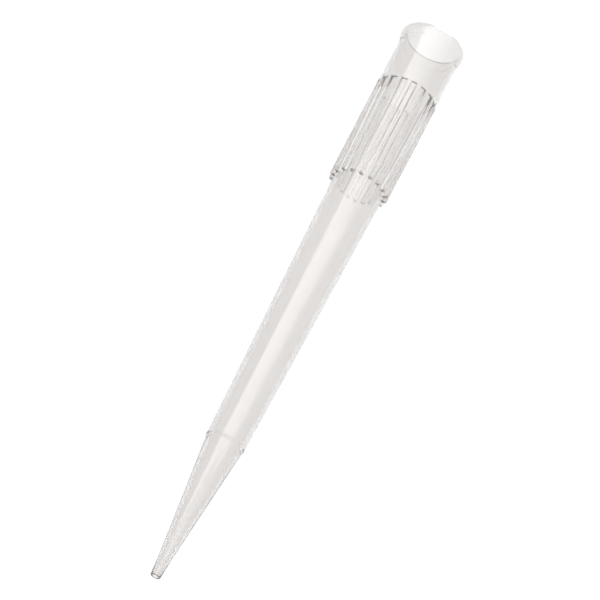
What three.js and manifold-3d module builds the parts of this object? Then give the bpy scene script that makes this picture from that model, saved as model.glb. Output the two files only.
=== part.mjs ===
// A 1000 microlitre pipette tip, moulded in one shot from clear polypropylene.
// It stands on the rim of its mouth, point up: the origin is the middle of the mouth
// and +Z runs along the axis to the orifice. All sizes are in millimetres.

import * as THREE from 'three';
import { ConvexGeometry } from 'three/addons/geometries/ConvexGeometry.js';
import { mergeVertices } from 'three/addons/utils/BufferGeometryUtils.js';
import Module from 'manifold-3d';

// ---------- Driving dimensions ----------

// Lengths along the axis, in order from the mouth to the point.
const collarLength = 9.2;
const barrelLength = 55.85;
const beadLength = 0.5;
const shoulderLength = 0.4;
const coneLength = 16.55;
const nibLength = 2.5;

// Outside diameters.
const lipDiameter = 8.88;
const collarDiameter = 8.32;
const barrelTopDiameter = 7.74;
const barrelEndDiameter = 5.1;
const beadDiameter = 5.16;
const coneTopDiameter = 4.85;
const nibTopDiameter = 1.6;
const orificeEndDiameter = 1.3;

// The flared lip round the mouth.
const lipBandLength = 0.4;
const lipFlareLength = 1.35;
const rimRadius = 0.22;

// Ribs down the top of the barrel, under the collar's ledge.
const ribCount = 18;
const ribLength = 15.7;
const ribOverlap = 0.45;
const ribCrestWidth = 0.54;
const ribFlankLean = 0.2;
const ribEdgeRadius = 0.12;
const ribFootRadius = 0.2;
const ribHeadDiameter = 8.44;
const ribFootDiameter = 8.2;

// The bore, left by the core pin.
const leadInDepth = 1.85;
const leadInAngle = 13.5;
const socketDepth = 21.4;
const stopLength = 1.2;
const socketWall = 0.48;
const barrelWall = 0.6;
const coneWall = 0.55;
const nibWall = 0.32;
const orificeDiameter = 0.75;
const pointEdgeRadius = 0.08;

// Facets: four to each rib's pitch keep every rib on the same part of the wall.
const facetsPerRib = 4;
const stepsPerRound = 3;

// ---------- Places worked out from them ----------

const ledgeZ = collarLength;
const beadZ = ledgeZ + barrelLength;
const shoulderZ = beadZ + beadLength;
const coneZ = shoulderZ + shoulderLength;
const nibZ = coneZ + coneLength;
const pointZ = nibZ + nibLength;
const facets = ribCount * facetsPerRib;

// The barrel is one straight taper, and the ribbed part and the socket follow it too.
const barrelTaper = (barrelTopDiameter - barrelEndDiameter) / 2 / barrelLength;
const barrelRadius = (z) => barrelTopDiameter / 2 - barrelTaper * (z - ledgeZ);

const wasm = await Module();
wasm.setup();

// Turns a closed three.js geometry into a manifold solid, leaving out the
// triangles that a lathe collapses on its axis.
function solidOf(geometry) {
  const bare = geometry.clone();
  bare.deleteAttribute('normal');
  bare.deleteAttribute('uv');
  const merged = mergeVertices(bare);
  const triangles = [];
  for (let i = 0; i < merged.index.count; i += 3) {
    const [a, b, c] = merged.index.array.subarray(i, i + 3);
    if (a !== b && b !== c && c !== a) triangles.push(a, b, c);
  }
  return new wasm.Manifold(new wasm.Mesh({
    numProp: 3,
    vertProperties: merged.attributes.position.array,
    triVerts: new Uint32Array(triangles),
  }));
}

// Spins a half section, drawn as radius against height, about the +Z axis.
function revolve(section) {
  const geometry = new THREE.LatheGeometry(section.getPoints(stepsPerRound), facets);
  geometry.rotateX(Math.PI / 2);
  return solidOf(geometry);
}

// The outside as the cavity moulds it: lip, collar, barrel, bead, cone and nib.
function outerForm() {
  const lip = lipDiameter / 2;
  const collar = collarDiameter / 2;
  const end = orificeEndDiameter / 2;
  const bead = beadDiameter / 2;
  const section = new THREE.Path();
  section.moveTo(0, 0);
  section.lineTo(lip - rimRadius, 0);
  section.absarc(lip - rimRadius, rimRadius, rimRadius, -Math.PI / 2, 0, false);
  section.lineTo(lip, lipBandLength);
  section.quadraticCurveTo(
    lip, lipBandLength + lipFlareLength / 2,
    collar, lipBandLength + lipFlareLength,
  );
  section.lineTo(collar, ledgeZ);
  section.lineTo(barrelRadius(ledgeZ), ledgeZ);
  section.lineTo(barrelRadius(beadZ), beadZ);
  section.quadraticCurveTo(bead, beadZ, bead, beadZ + beadLength / 2);
  section.quadraticCurveTo(bead, shoulderZ, barrelRadius(shoulderZ), shoulderZ);
  section.lineTo(coneTopDiameter / 2, coneZ);
  section.lineTo(nibTopDiameter / 2, nibZ);
  section.lineTo(end, pointZ - pointEdgeRadius);
  section.lineTo(end - pointEdgeRadius, pointZ);
  section.lineTo(0, pointZ);
  return revolve(section);
}

// The core pin: lead-in, tapered nozzle socket, stop, barrel bore, cone bore and
// orifice. It runs past both ends, so that it cuts them clean.
function corePin() {
  const past = 1;
  const socketTop = barrelRadius(leadInDepth) - socketWall;
  const leadInSlope = Math.tan(THREE.MathUtils.degToRad(leadInAngle));
  const stopEnd = socketDepth + stopLength;
  const section = new THREE.Path();
  section.moveTo(0, -past);
  section.lineTo(socketTop + leadInSlope * (leadInDepth + past), -past);
  section.lineTo(socketTop, leadInDepth);
  section.lineTo(barrelRadius(socketDepth) - socketWall, socketDepth);
  section.lineTo(barrelRadius(stopEnd) - barrelWall, stopEnd);
  section.lineTo(barrelRadius(beadZ) - barrelWall, beadZ);
  section.lineTo(coneTopDiameter / 2 - coneWall, coneZ);
  section.lineTo(nibTopDiameter / 2 - nibWall, nibZ);
  section.lineTo(orificeDiameter / 2, pointZ);
  section.lineTo(orificeDiameter / 2, pointZ + past);
  section.lineTo(0, pointZ + past);
  return revolve(section);
}

// One rib at angle 0, as the convex body through its slices square to the axis. Its
// flanks lean, its long edges are rounded, it leans in by the draft towards its foot,
// and the foot is rounded off. Its back is inside the bore, where the core pin cuts it.
function ribBlank() {
  const draft = (ribHeadDiameter - ribFootDiameter) / 2 / ribLength;
  const footZ = ledgeZ + ribLength;
  const back = ribFootDiameter / 4;
  const points = [];
  function addSlice(z, inset) {
    const top = ribHeadDiameter / 2 - draft * (z - ledgeZ) - inset;
    const half = ribCrestWidth / 2 - inset;
    const edge = Math.min(ribEdgeRadius, half);
    for (const side of [-1, 1]) {
      points.push(new THREE.Vector3(back, side * (half + ribFlankLean * (top - back)), z));
      for (let i = 0; i <= stepsPerRound; i += 1) {
        const turn = i / stepsPerRound * Math.PI / 2;
        const x = top - edge * (1 - Math.sin(turn));
        const y = half + ribFlankLean * (top - x) - edge * (1 - Math.cos(turn));
        points.push(new THREE.Vector3(x, side * y, z));
      }
    }
  }
  addSlice(ledgeZ - ribOverlap, 0);
  for (let i = 0; i <= stepsPerRound; i += 1) {
    const turn = i / stepsPerRound * Math.PI / 2;
    addSlice(footZ - ribFootRadius * (1 - Math.sin(turn)), ribFootRadius * (1 - Math.cos(turn)));
  }
  return new ConvexGeometry(points);
}

// ---------- The tip ----------

let tip = outerForm();
const rib = ribBlank();
for (let i = 0; i < ribCount; i += 1) {
  tip = tip.add(solidOf(rib.clone().rotateZ((i + 0.5) * 2 * Math.PI / ribCount)));
}
tip = tip.subtract(corePin());

const moulded = tip.getMesh();
const geometry = new THREE.BufferGeometry();
geometry.setAttribute('position', new THREE.BufferAttribute(moulded.vertProperties, 3));
geometry.setIndex(new THREE.BufferAttribute(moulded.triVerts, 1));
geometry.computeVertexNormals();

const clearPolypropylene = new THREE.MeshStandardMaterial({
  color: 0xe9e7e3,
  roughness: 0.15,
  metalness: 0,
  transparent: true,
  opacity: 0.4,
});

const mesh = new THREE.Mesh(geometry, clearPolypropylene);
mesh.name = 'tip_moulding';

const group = new THREE.Group();
group.add(mesh);

export default group;
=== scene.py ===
import math

import bpy
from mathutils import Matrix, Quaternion, Vector


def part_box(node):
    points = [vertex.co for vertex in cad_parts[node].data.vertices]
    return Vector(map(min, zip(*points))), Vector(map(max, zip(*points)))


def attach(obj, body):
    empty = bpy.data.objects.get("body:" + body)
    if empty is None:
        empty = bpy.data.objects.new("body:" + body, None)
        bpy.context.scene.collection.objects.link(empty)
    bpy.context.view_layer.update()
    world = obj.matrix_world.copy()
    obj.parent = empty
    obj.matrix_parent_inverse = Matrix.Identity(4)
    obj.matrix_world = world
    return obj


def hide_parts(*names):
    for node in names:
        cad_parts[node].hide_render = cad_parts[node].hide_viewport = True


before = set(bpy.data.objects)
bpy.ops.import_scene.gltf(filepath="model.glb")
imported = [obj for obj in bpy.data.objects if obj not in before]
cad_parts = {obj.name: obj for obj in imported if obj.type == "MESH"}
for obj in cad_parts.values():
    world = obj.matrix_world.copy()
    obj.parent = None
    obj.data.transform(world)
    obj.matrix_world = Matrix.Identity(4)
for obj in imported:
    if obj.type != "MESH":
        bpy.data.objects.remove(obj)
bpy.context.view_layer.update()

# ---------------------------------------------------------------------------
# The frame. The tip stands on the rim of its mouth with its point up, so the
# origin is the middle of the mouth and +Z runs along the axis to the orifice.
# ---------------------------------------------------------------------------
MM = 0.001
clear_of_box = 0.001 * MM
point_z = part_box("tip_moulding")[1].z - clear_of_box
bpy.ops.object.select_all(action="DESELECT")

# ---------------------------------------------------------------------------
# The moulding. One shot of clear polypropylene: a rounded lip round the mouth,
# a plain collar, eighteen grip ribs, a long tapered barrel, a fine bead and a
# slim cone. A wedge of the wall holds one rib, and is copied round the axis.
# ---------------------------------------------------------------------------
RIBS = 18
WEDGE_STEPS = 18
RIB_STEPS = 10
EDGE_STEPS = 3
NEAR = 0.0001 * MM

lip_band_z, lip_turn_z, collar_z, lead_in_z = 0.4 * MM, 0.9 * MM, 1.75 * MM, 1.85 * MM
ledge_z, rib_rise_z, rib_risen_z, rib_foot_z = 9.2 * MM, 8.75 * MM, 8.9 * MM, 24.9 * MM
bead_z, shoulder_z, cone_z, nib_z = 65.05 * MM, 65.55 * MM, 65.95 * MM, 82.5 * MM
lip_r, rim_round, collar_r = 4.438 * MM, 0.22 * MM, 4.16 * MM
lip_step, lip_step_length = 0.03 * MM, 0.01 * MM
barrel_top_r, barrel_end_r, bead_r = 3.87 * MM, 2.55 * MM, 2.58 * MM
cone_top_r, nib_top_r = 2.425 * MM, 0.8 * MM
point_r, point_round, orifice_r, orifice_round = 0.65 * MM, 0.08 * MM, 0.375 * MM, 0.05 * MM
rib_head_r, rib_foot_r = 4.22 * MM, 4.1 * MM
rib_lean, rib_edge, rib_end = 0.09 * MM, 0.12 * MM, 0.2 * MM
socket_z, stop_z, mouth_bore_r, bore_corner = 21.4 * MM, 22.6 * MM, 4.008 * MM, 0.12 * MM
socket_wall, barrel_wall, cone_wall, nib_wall = 0.48 * MM, 0.6 * MM, 0.55 * MM, 0.32 * MM


def barrel_r(z):
    return barrel_top_r - (barrel_top_r - barrel_end_r) * (z - ledge_z) / (bead_z - ledge_z)


def rib_r(z):
    return rib_head_r - (rib_head_r - rib_foot_r) * (z - ledge_z) / (rib_foot_z - ledge_z)


def arc(centre, radius, start, end, steps):
    """Points on an arc of the half section, from a start angle to an end angle in degrees."""
    turns = [math.radians(start + (end - start) * i / steps) for i in range(steps + 1)]
    return [(centre[0] + radius * math.cos(a), centre[1] + radius * math.sin(a)) for a in turns]


def curve(start, pull, end, steps):
    """Points on a smooth curve from start to end, drawn towards pull."""
    points = []
    for t in (i / steps for i in range(steps + 1)):
        weights = (1 - t) ** 2, 2 * t * (1 - t), t * t
        points.append(tuple(sum(w * p[k] for w, p in zip(weights, (start, pull, end))) for k in (0, 1)))
    return points


def corner(before, at, after, reach, steps=3):
    """A corner of the half section, rounded off over a short reach to both sides."""
    ends = []
    for other in (before, after):
        share = reach / math.dist(at, other)
        ends.append(tuple(a + (o - a) * share for a, o in zip(at, other)))
    return curve(ends[0], at, ends[1], steps)


# The half section, as radius and height: up the outside, over the point, down the bore.
section = arc((lip_r - rim_round, rim_round), rim_round, -90, 0, 6)
lip_corner = (collar_r + lip_step, collar_z - lip_step_length)
section += curve((lip_r, lip_band_z), (lip_r, lip_turn_z), lip_corner, 8)
section += [(collar_r, z) for z in (collar_z, rib_rise_z, rib_risen_z, ledge_z)]
section += [(barrel_r(ledge_z), ledge_z)]
for turn in (0, 30, 60, 90):
    z = rib_foot_z - rib_end * (1 - math.sin(math.radians(turn)))
    section.append((barrel_r(z), z))
bead_top_z = (bead_z + shoulder_z) / 2
section += curve((barrel_r(bead_z), bead_z), (bead_r, bead_z), (bead_r, bead_top_z), 5)
section += curve((bead_r, bead_top_z), (bead_r, shoulder_z), (barrel_r(shoulder_z), shoulder_z), 5)[1:]
section += [(cone_top_r, cone_z), (nib_top_r, nib_z)]
section += arc((point_r - point_round, point_z - point_round), point_round, 0, 90, 4)
section += arc((orifice_r + orifice_round, point_z - orifice_round), orifice_round, 90, 180, 3)
bore = [(nib_top_r - nib_wall, nib_z), (cone_top_r - cone_wall, cone_z)]
bore += [(barrel_r(bead_z) - barrel_wall, bead_z)]
bore += [(barrel_r(stop_z) - barrel_wall, stop_z), (barrel_r(socket_z) - socket_wall, socket_z)]
bore += [(barrel_r(lead_in_z) - socket_wall, lead_in_z), (mouth_bore_r, 0)]
section += bore[:3]
for i in (3, 4, 5):
    section += corner(bore[i - 1], bore[i], bore[i + 1], bore_corner)
section += bore[6:]

wedge_angle = math.radians(360 / RIBS)
rib_way = Vector((math.cos(wedge_angle / 2), math.sin(wedge_angle / 2), 0))
rib_side = Vector((-rib_way.y, rib_way.x, 0))
root_angle = wedge_angle * RIB_STEPS / WEDGE_STEPS / 2

bpy.ops.mesh.primitive_plane_add(size=MM)
tip = bpy.context.object
tip.name = "tip_moulding_clear"
bpy.ops.object.mode_set(mode="EDIT")
bpy.ops.mesh.merge(type="CENTER")
bpy.ops.transform.translate(value=(section[0][0], 0, section[0][1]))
for (r0, z0), (r1, z1) in zip(section, section[1:] + section[:1]):
    bpy.ops.mesh.extrude_region_move(TRANSFORM_OT_translate={"value": (r1 - r0, 0, z1 - z0)})
bpy.ops.mesh.select_all(action="SELECT")
bpy.ops.mesh.remove_doubles(threshold=NEAR)
bpy.ops.mesh.select_all(action="SELECT")
bpy.ops.mesh.spin(steps=WEDGE_STEPS, angle=wedge_angle, center=(0, 0, 0), axis=(0, 0, -1))


def in_rib(p):
    near_angle = 0.001
    return abs(math.atan2(p.y, p.x) - wedge_angle / 2) < root_angle + near_angle


def pick(kind, wanted):
    """Selects the edges or faces whose corners all pass a test, and nothing else."""
    bpy.ops.object.mode_set(mode="OBJECT")
    mesh = tip.data
    for group in (mesh.vertices, mesh.edges, mesh.polygons):
        group.foreach_set("select", [False] * len(group))
    for item in getattr(mesh, kind):
        item.select = all(wanted(mesh.vertices[i].co) for i in item.vertices)
    bpy.ops.object.mode_set(mode="EDIT")


def rib_top(p, wall_r, z, drop_most=math.inf):
    """Where a point of the wall comes to on the rib's top, whose long edges and foot are rounded."""
    side = math.asin(p.dot(rib_side) / wall_r) / root_angle
    step = round(min(1 - side, 1 + side) * RIB_STEPS / 2)
    over = math.radians(90 / EDGE_STEPS * min(step, EDGE_STEPS))
    foot = math.asin(min(1, max(0, (z - rib_foot_z) / rib_end + 1)))
    off = rib_end * (1 - math.cos(foot))
    half = barrel_r(z) * math.sin(root_angle) - rib_lean - off
    edge = min(rib_edge, half)
    to_edge = (RIB_STEPS / 2 - step) / (RIB_STEPS / 2 - EDGE_STEPS)
    inset = edge * (1 - math.cos(over)) if step < EDGE_STEPS else half - (half - edge) * to_edge
    drop = min(drop_most, edge * (1 - math.sin(over)) + off)
    return rib_way * (rib_r(z) - drop) + rib_side * math.copysign(half - inset, side) + Vector((0, 0, z))


# The middle of the wedge's wall, just past the ledge, is drawn out to be the rib.
bpy.context.scene.tool_settings.mesh_select_mode = (False, False, True)
pick("polygons", lambda p: ledge_z - NEAR < p.z < rib_foot_z + NEAR and in_rib(p)
     and abs(math.hypot(p.x, p.y) - barrel_r(p.z)) < 10 * NEAR)
bpy.ops.mesh.extrude_region_move(TRANSFORM_OT_translate={"value": rib_way * (rib_head_r - barrel_top_r)})
bpy.ops.object.mode_set(mode="OBJECT")
proud = rib_head_r - collar_r
for v in tip.data.vertices:
    if v.select:
        v.co = rib_top(v.co, barrel_r(v.co.z), v.co.z, proud if v.co.z < ledge_z + NEAR else math.inf)
    elif in_rib(v.co) and rib_rise_z + NEAR < v.co.z < ledge_z + NEAR and v.co.xy.length > collar_r - NEAR:
        v.co.xy = rib_top(v.co, collar_r, ledge_z, proud).xy

# Its head runs into the collar, so the ledge and the rib's own end are taken out there.
pick("polygons", lambda p: abs(p.z - ledge_z) < NEAR and in_rib(p))
bpy.ops.mesh.delete(type="FACE")
bpy.ops.mesh.select_all(action="SELECT")
bpy.ops.mesh.remove_doubles(threshold=NEAR)

bpy.ops.mesh.select_all(action="SELECT")
rest_of_round = wedge_angle * (RIBS - 1)
bpy.ops.mesh.spin(steps=RIBS - 1, dupli=True, angle=rest_of_round, center=(0, 0, 0), axis=(0, 0, 1))
bpy.ops.mesh.select_all(action="SELECT")
bpy.ops.mesh.remove_doubles(threshold=NEAR)
bpy.ops.mesh.select_all(action="SELECT")
bpy.ops.mesh.normals_make_consistent(inside=False)
bpy.ops.object.mode_set(mode="OBJECT")
bpy.ops.object.shade_smooth_by_angle(angle=math.radians(35))
# The corner where the lip meets the collar stays crisp.
pick("edges", lambda p: abs(p.z - collar_z) < NEAR and p.xy.length > collar_r - NEAR)
bpy.context.scene.tool_settings.mesh_select_mode = (False, True, False)
bpy.ops.mesh.mark_sharp()
bpy.ops.object.mode_set(mode="OBJECT")
weighted = tip.modifiers.new("weighted_normals", "WEIGHTED_NORMAL")
weighted.keep_sharp = True
bpy.ops.object.modifier_apply(modifier=weighted.name)

# Clear, faintly milky plastic, with flow marks drawn out along the tip in its gloss.
# Lamps shine on through it, so what is behind it is lit.
milky_white = (0.84, 0.825, 0.815, 1)
shine_through = (0.86, 0.85, 0.84, 1)
flow_across, flow_along = 900, 90
glossiest, haziest = 0.03, 0.07

clear = bpy.data.materials.new("clear_polypropylene")
clear.use_nodes = True
nodes, links = clear.node_tree.nodes, clear.node_tree.links
plastic = nodes["Principled BSDF"]
plastic.inputs["Base Color"].default_value = milky_white
plastic.inputs["IOR"].default_value = 1.49
plastic.inputs["Transmission Weight"].default_value = 0.88
where = nodes.new("ShaderNodeTexCoord")
stretch = nodes.new("ShaderNodeMapping")
stretch.inputs["Scale"].default_value = (flow_across, flow_across, flow_along)
flow = nodes.new("ShaderNodeTexNoise")
flow.inputs["Scale"].default_value = 1
flow.inputs["Detail"].default_value = 3
haze = nodes.new("ShaderNodeMapRange")
haze.inputs["To Min"].default_value = glossiest
haze.inputs["To Max"].default_value = haziest
links.new(where.outputs["Object"], stretch.inputs["Vector"])
links.new(stretch.outputs["Vector"], flow.inputs["Vector"])
links.new(flow.outputs["Fac"], haze.inputs["Value"])
links.new(haze.outputs["Result"], plastic.inputs["Roughness"])
lamp_path = nodes.new("ShaderNodeLightPath")
let_through = nodes.new("ShaderNodeBsdfTransparent")
let_through.inputs["Color"].default_value = shine_through
shining = nodes.new("ShaderNodeMixShader")
links.new(lamp_path.outputs["Is Shadow Ray"], shining.inputs["Fac"])
links.new(plastic.outputs["BSDF"], shining.inputs[1])
links.new(let_through.outputs["BSDF"], shining.inputs[2])
links.new(shining.outputs["Shader"], nodes["Material Output"].inputs["Surface"])
tip.data.materials.append(clear)

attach(tip, "root")
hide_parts("tip_moulding")

# ---------------------------------------------------------------------------
# The studio floor: a sheet of white paper. The view, the tip's gloss and the view
# through its walls all meet it as three parts of a glow of its own to one part of
# a matt face that takes the light. Round the tip that comes to just past white, so
# the tip's soft shadow on it doesn't show.
# ---------------------------------------------------------------------------
floor_width = 6
paper_grey = (0.85, 0.85, 0.85, 1)
paper_glow, glow_share = 1.12, 0.75

bpy.ops.mesh.primitive_plane_add(size=floor_width)
floor = bpy.context.object
floor.name = "studio_floor"
paper = bpy.data.materials.new("white_paper")
paper.use_nodes = True
nodes, links = paper.node_tree.nodes, paper.node_tree.links
paper_matt = nodes["Principled BSDF"]
paper_matt.inputs["Base Color"].default_value = paper_grey
paper_matt.inputs["Roughness"].default_value = 0.9
paper_matt.inputs["Specular IOR Level"].default_value = 0
paper_white = nodes.new("ShaderNodeEmission")
paper_white.inputs["Strength"].default_value = paper_glow
path = nodes.new("ShaderNodeLightPath")


def reckoned(operation, first, second):
    """The product, the larger or the like of two values, the second of which may be a plain number."""
    node = nodes.new("ShaderNodeMath")
    node.operation = operation
    links.new(first, node.inputs[0])
    if isinstance(second, (int, float)):
        node.inputs[1].default_value = second
    else:
        links.new(second, node.inputs[1])
    return node.outputs["Value"]


seen = reckoned("MAXIMUM", path.outputs["Is Camera Ray"], path.outputs["Is Glossy Ray"])
seen = reckoned("MAXIMUM", seen, path.outputs["Is Transmission Ray"])
blend = nodes.new("ShaderNodeMixShader")
links.new(reckoned("MULTIPLY", seen, glow_share), blend.inputs["Fac"])
links.new(paper_matt.outputs["BSDF"], blend.inputs[1])
links.new(paper_white.outputs["Emission"], blend.inputs[2])
links.new(blend.outputs["Shader"], nodes["Material Output"].inputs["Surface"])
floor.data.materials.append(paper)

# ---------------------------------------------------------------------------
# The low light panel: a sheet of glowing film lying in front of the tip, which
# widens away from it. The tip mirrors it as the soft streak down its length.
# The film is as white as the floor to the view, and straight through the tip.
# ---------------------------------------------------------------------------
camera_side = math.radians(-97.4)
near_r, far_r = 6 * MM, 420 * MM
film_lift = 0.2 * MM
dim_side, bright_side = math.radians(-50), math.radians(38.5)
full_glow_side = math.radians(20)
dim_glow, full_glow = 1, 3.2

bpy.ops.mesh.primitive_plane_add(size=MM, location=(0, 0, film_lift))
panel = bpy.context.object
panel.name = "low_front_panel"
bpy.ops.object.transform_apply()
corners = [(r, camera_side + side) for r in (near_r, far_r) for side in (dim_side, bright_side)]
for v, (r, a) in zip(panel.data.vertices, corners):
    v.co.xy = r * math.cos(a), r * math.sin(a)
film = bpy.data.materials.new("soft_light")
film.use_nodes = True
nodes, links = film.node_tree.nodes, film.node_tree.links
nodes.remove(nodes["Principled BSDF"])
glow = nodes.new("ShaderNodeEmission")
where = nodes.new("ShaderNodeTexCoord")
split = nodes.new("ShaderNodeSeparateXYZ")
links.new(where.outputs["Object"], split.inputs["Vector"])
bearing = reckoned("ARCTAN2", split.outputs["Y"], split.outputs["X"])
fade = nodes.new("ShaderNodeMapRange")
fade.inputs["From Min"].default_value = camera_side + dim_side
fade.inputs["From Max"].default_value = camera_side + full_glow_side
fade.inputs["To Min"].default_value = dim_glow
fade.inputs["To Max"].default_value = full_glow
links.new(bearing, fade.inputs["Value"])
path = nodes.new("ShaderNodeLightPath")


def mixed(factor, first, second):
    """One level going over into another, either of which may be a plain number."""
    node = nodes.new("ShaderNodeMix")
    links.new(factor, node.inputs["Factor"])
    for name, level in (("A", first), ("B", second)):
        if isinstance(level, (int, float)):
            node.inputs[name].default_value = level
        else:
            links.new(level, node.inputs[name])
    return node.outputs["Result"]


# A view that the tip mirrors has met one surface, and one straight through a wall has met two.
mirrored = reckoned("MODULO", path.outputs["Ray Depth"], 2)
film_level = mixed(mirrored, paper_glow, fade.outputs["Result"])
links.new(mixed(path.outputs["Is Camera Ray"], film_level, paper_glow), glow.inputs["Strength"])
links.new(glow.outputs["Emission"], nodes["Material Output"].inputs["Surface"])
panel.data.materials.append(film)

# ---------------------------------------------------------------------------
# The room: soft white light from all round, brighter on one side, and a softbox
# overhead. To the view, the room behind the floor is plain white.
# ---------------------------------------------------------------------------
lighter_wall, darker_wall = 0.8, 0.15
wall_reach = 0.9
softbox_height, softbox_width, softbox_power = 0.8, 0.8, 4.0

world = bpy.data.worlds.new("studio")
bpy.context.scene.world = world
world.use_nodes = True
nodes, links = world.node_tree.nodes, world.node_tree.links
air = nodes["Background"]
path = nodes.new("ShaderNodeLightPath")
where = nodes.new("ShaderNodeTexCoord")
split = nodes.new("ShaderNodeSeparateXYZ")
sides = nodes.new("ShaderNodeMapRange")
sides.inputs["From Min"].default_value = -wall_reach
sides.inputs["From Max"].default_value = wall_reach
sides.inputs["To Min"].default_value = lighter_wall
sides.inputs["To Max"].default_value = darker_wall
links.new(where.outputs["Generated"], split.inputs["Vector"])
links.new(split.outputs["X"], sides.inputs["Value"])
links.new(mixed(path.outputs["Is Camera Ray"], sides.outputs["Result"], 1), air.inputs["Strength"])
air.inputs["Color"].default_value = (1, 1, 1, 1)

bpy.ops.object.light_add(type="AREA", location=(0, 0, softbox_height))
overhead = bpy.context.object
overhead.name = "overhead_softbox"
overhead.data.size = softbox_width
overhead.data.energy = softbox_power

# ---------------------------------------------------------------------------
# The camera looks down at the tip from the side of its point, rolled so that
# the tip lies across the view with its mouth at the upper right. Its lens is
# long, so the mouth, which is farther off, looks only a little smaller for it.
# ---------------------------------------------------------------------------
elevation, distance = math.radians(28.03), 350.8 * MM
aim_z, aim_aside = 43.2 * MM, 0.05 * MM
roll = math.radians(-152.44)

level_way = Vector((math.cos(camera_side), math.sin(camera_side), 0))
away = level_way * math.cos(elevation) + Vector((0, 0, math.sin(elevation)))
across = Vector((-math.sin(camera_side), math.cos(camera_side), 0))
aim = Vector((0, 0, aim_z)) - across * aim_aside
bpy.ops.object.camera_add()
camera = bpy.context.object
camera.name = "main_camera"
camera.data.lens = 168
camera.data.sensor_width = 36
camera.data.clip_start = 0.01
camera.location = aim + away * distance
camera.rotation_mode = "QUATERNION"
camera.rotation_quaternion = (-away).to_track_quat("-Z", "Y") @ Quaternion((0, 0, 1), roll)
bpy.context.scene.camera = camera
bpy.context.scene.view_settings.view_transform = "Standard"
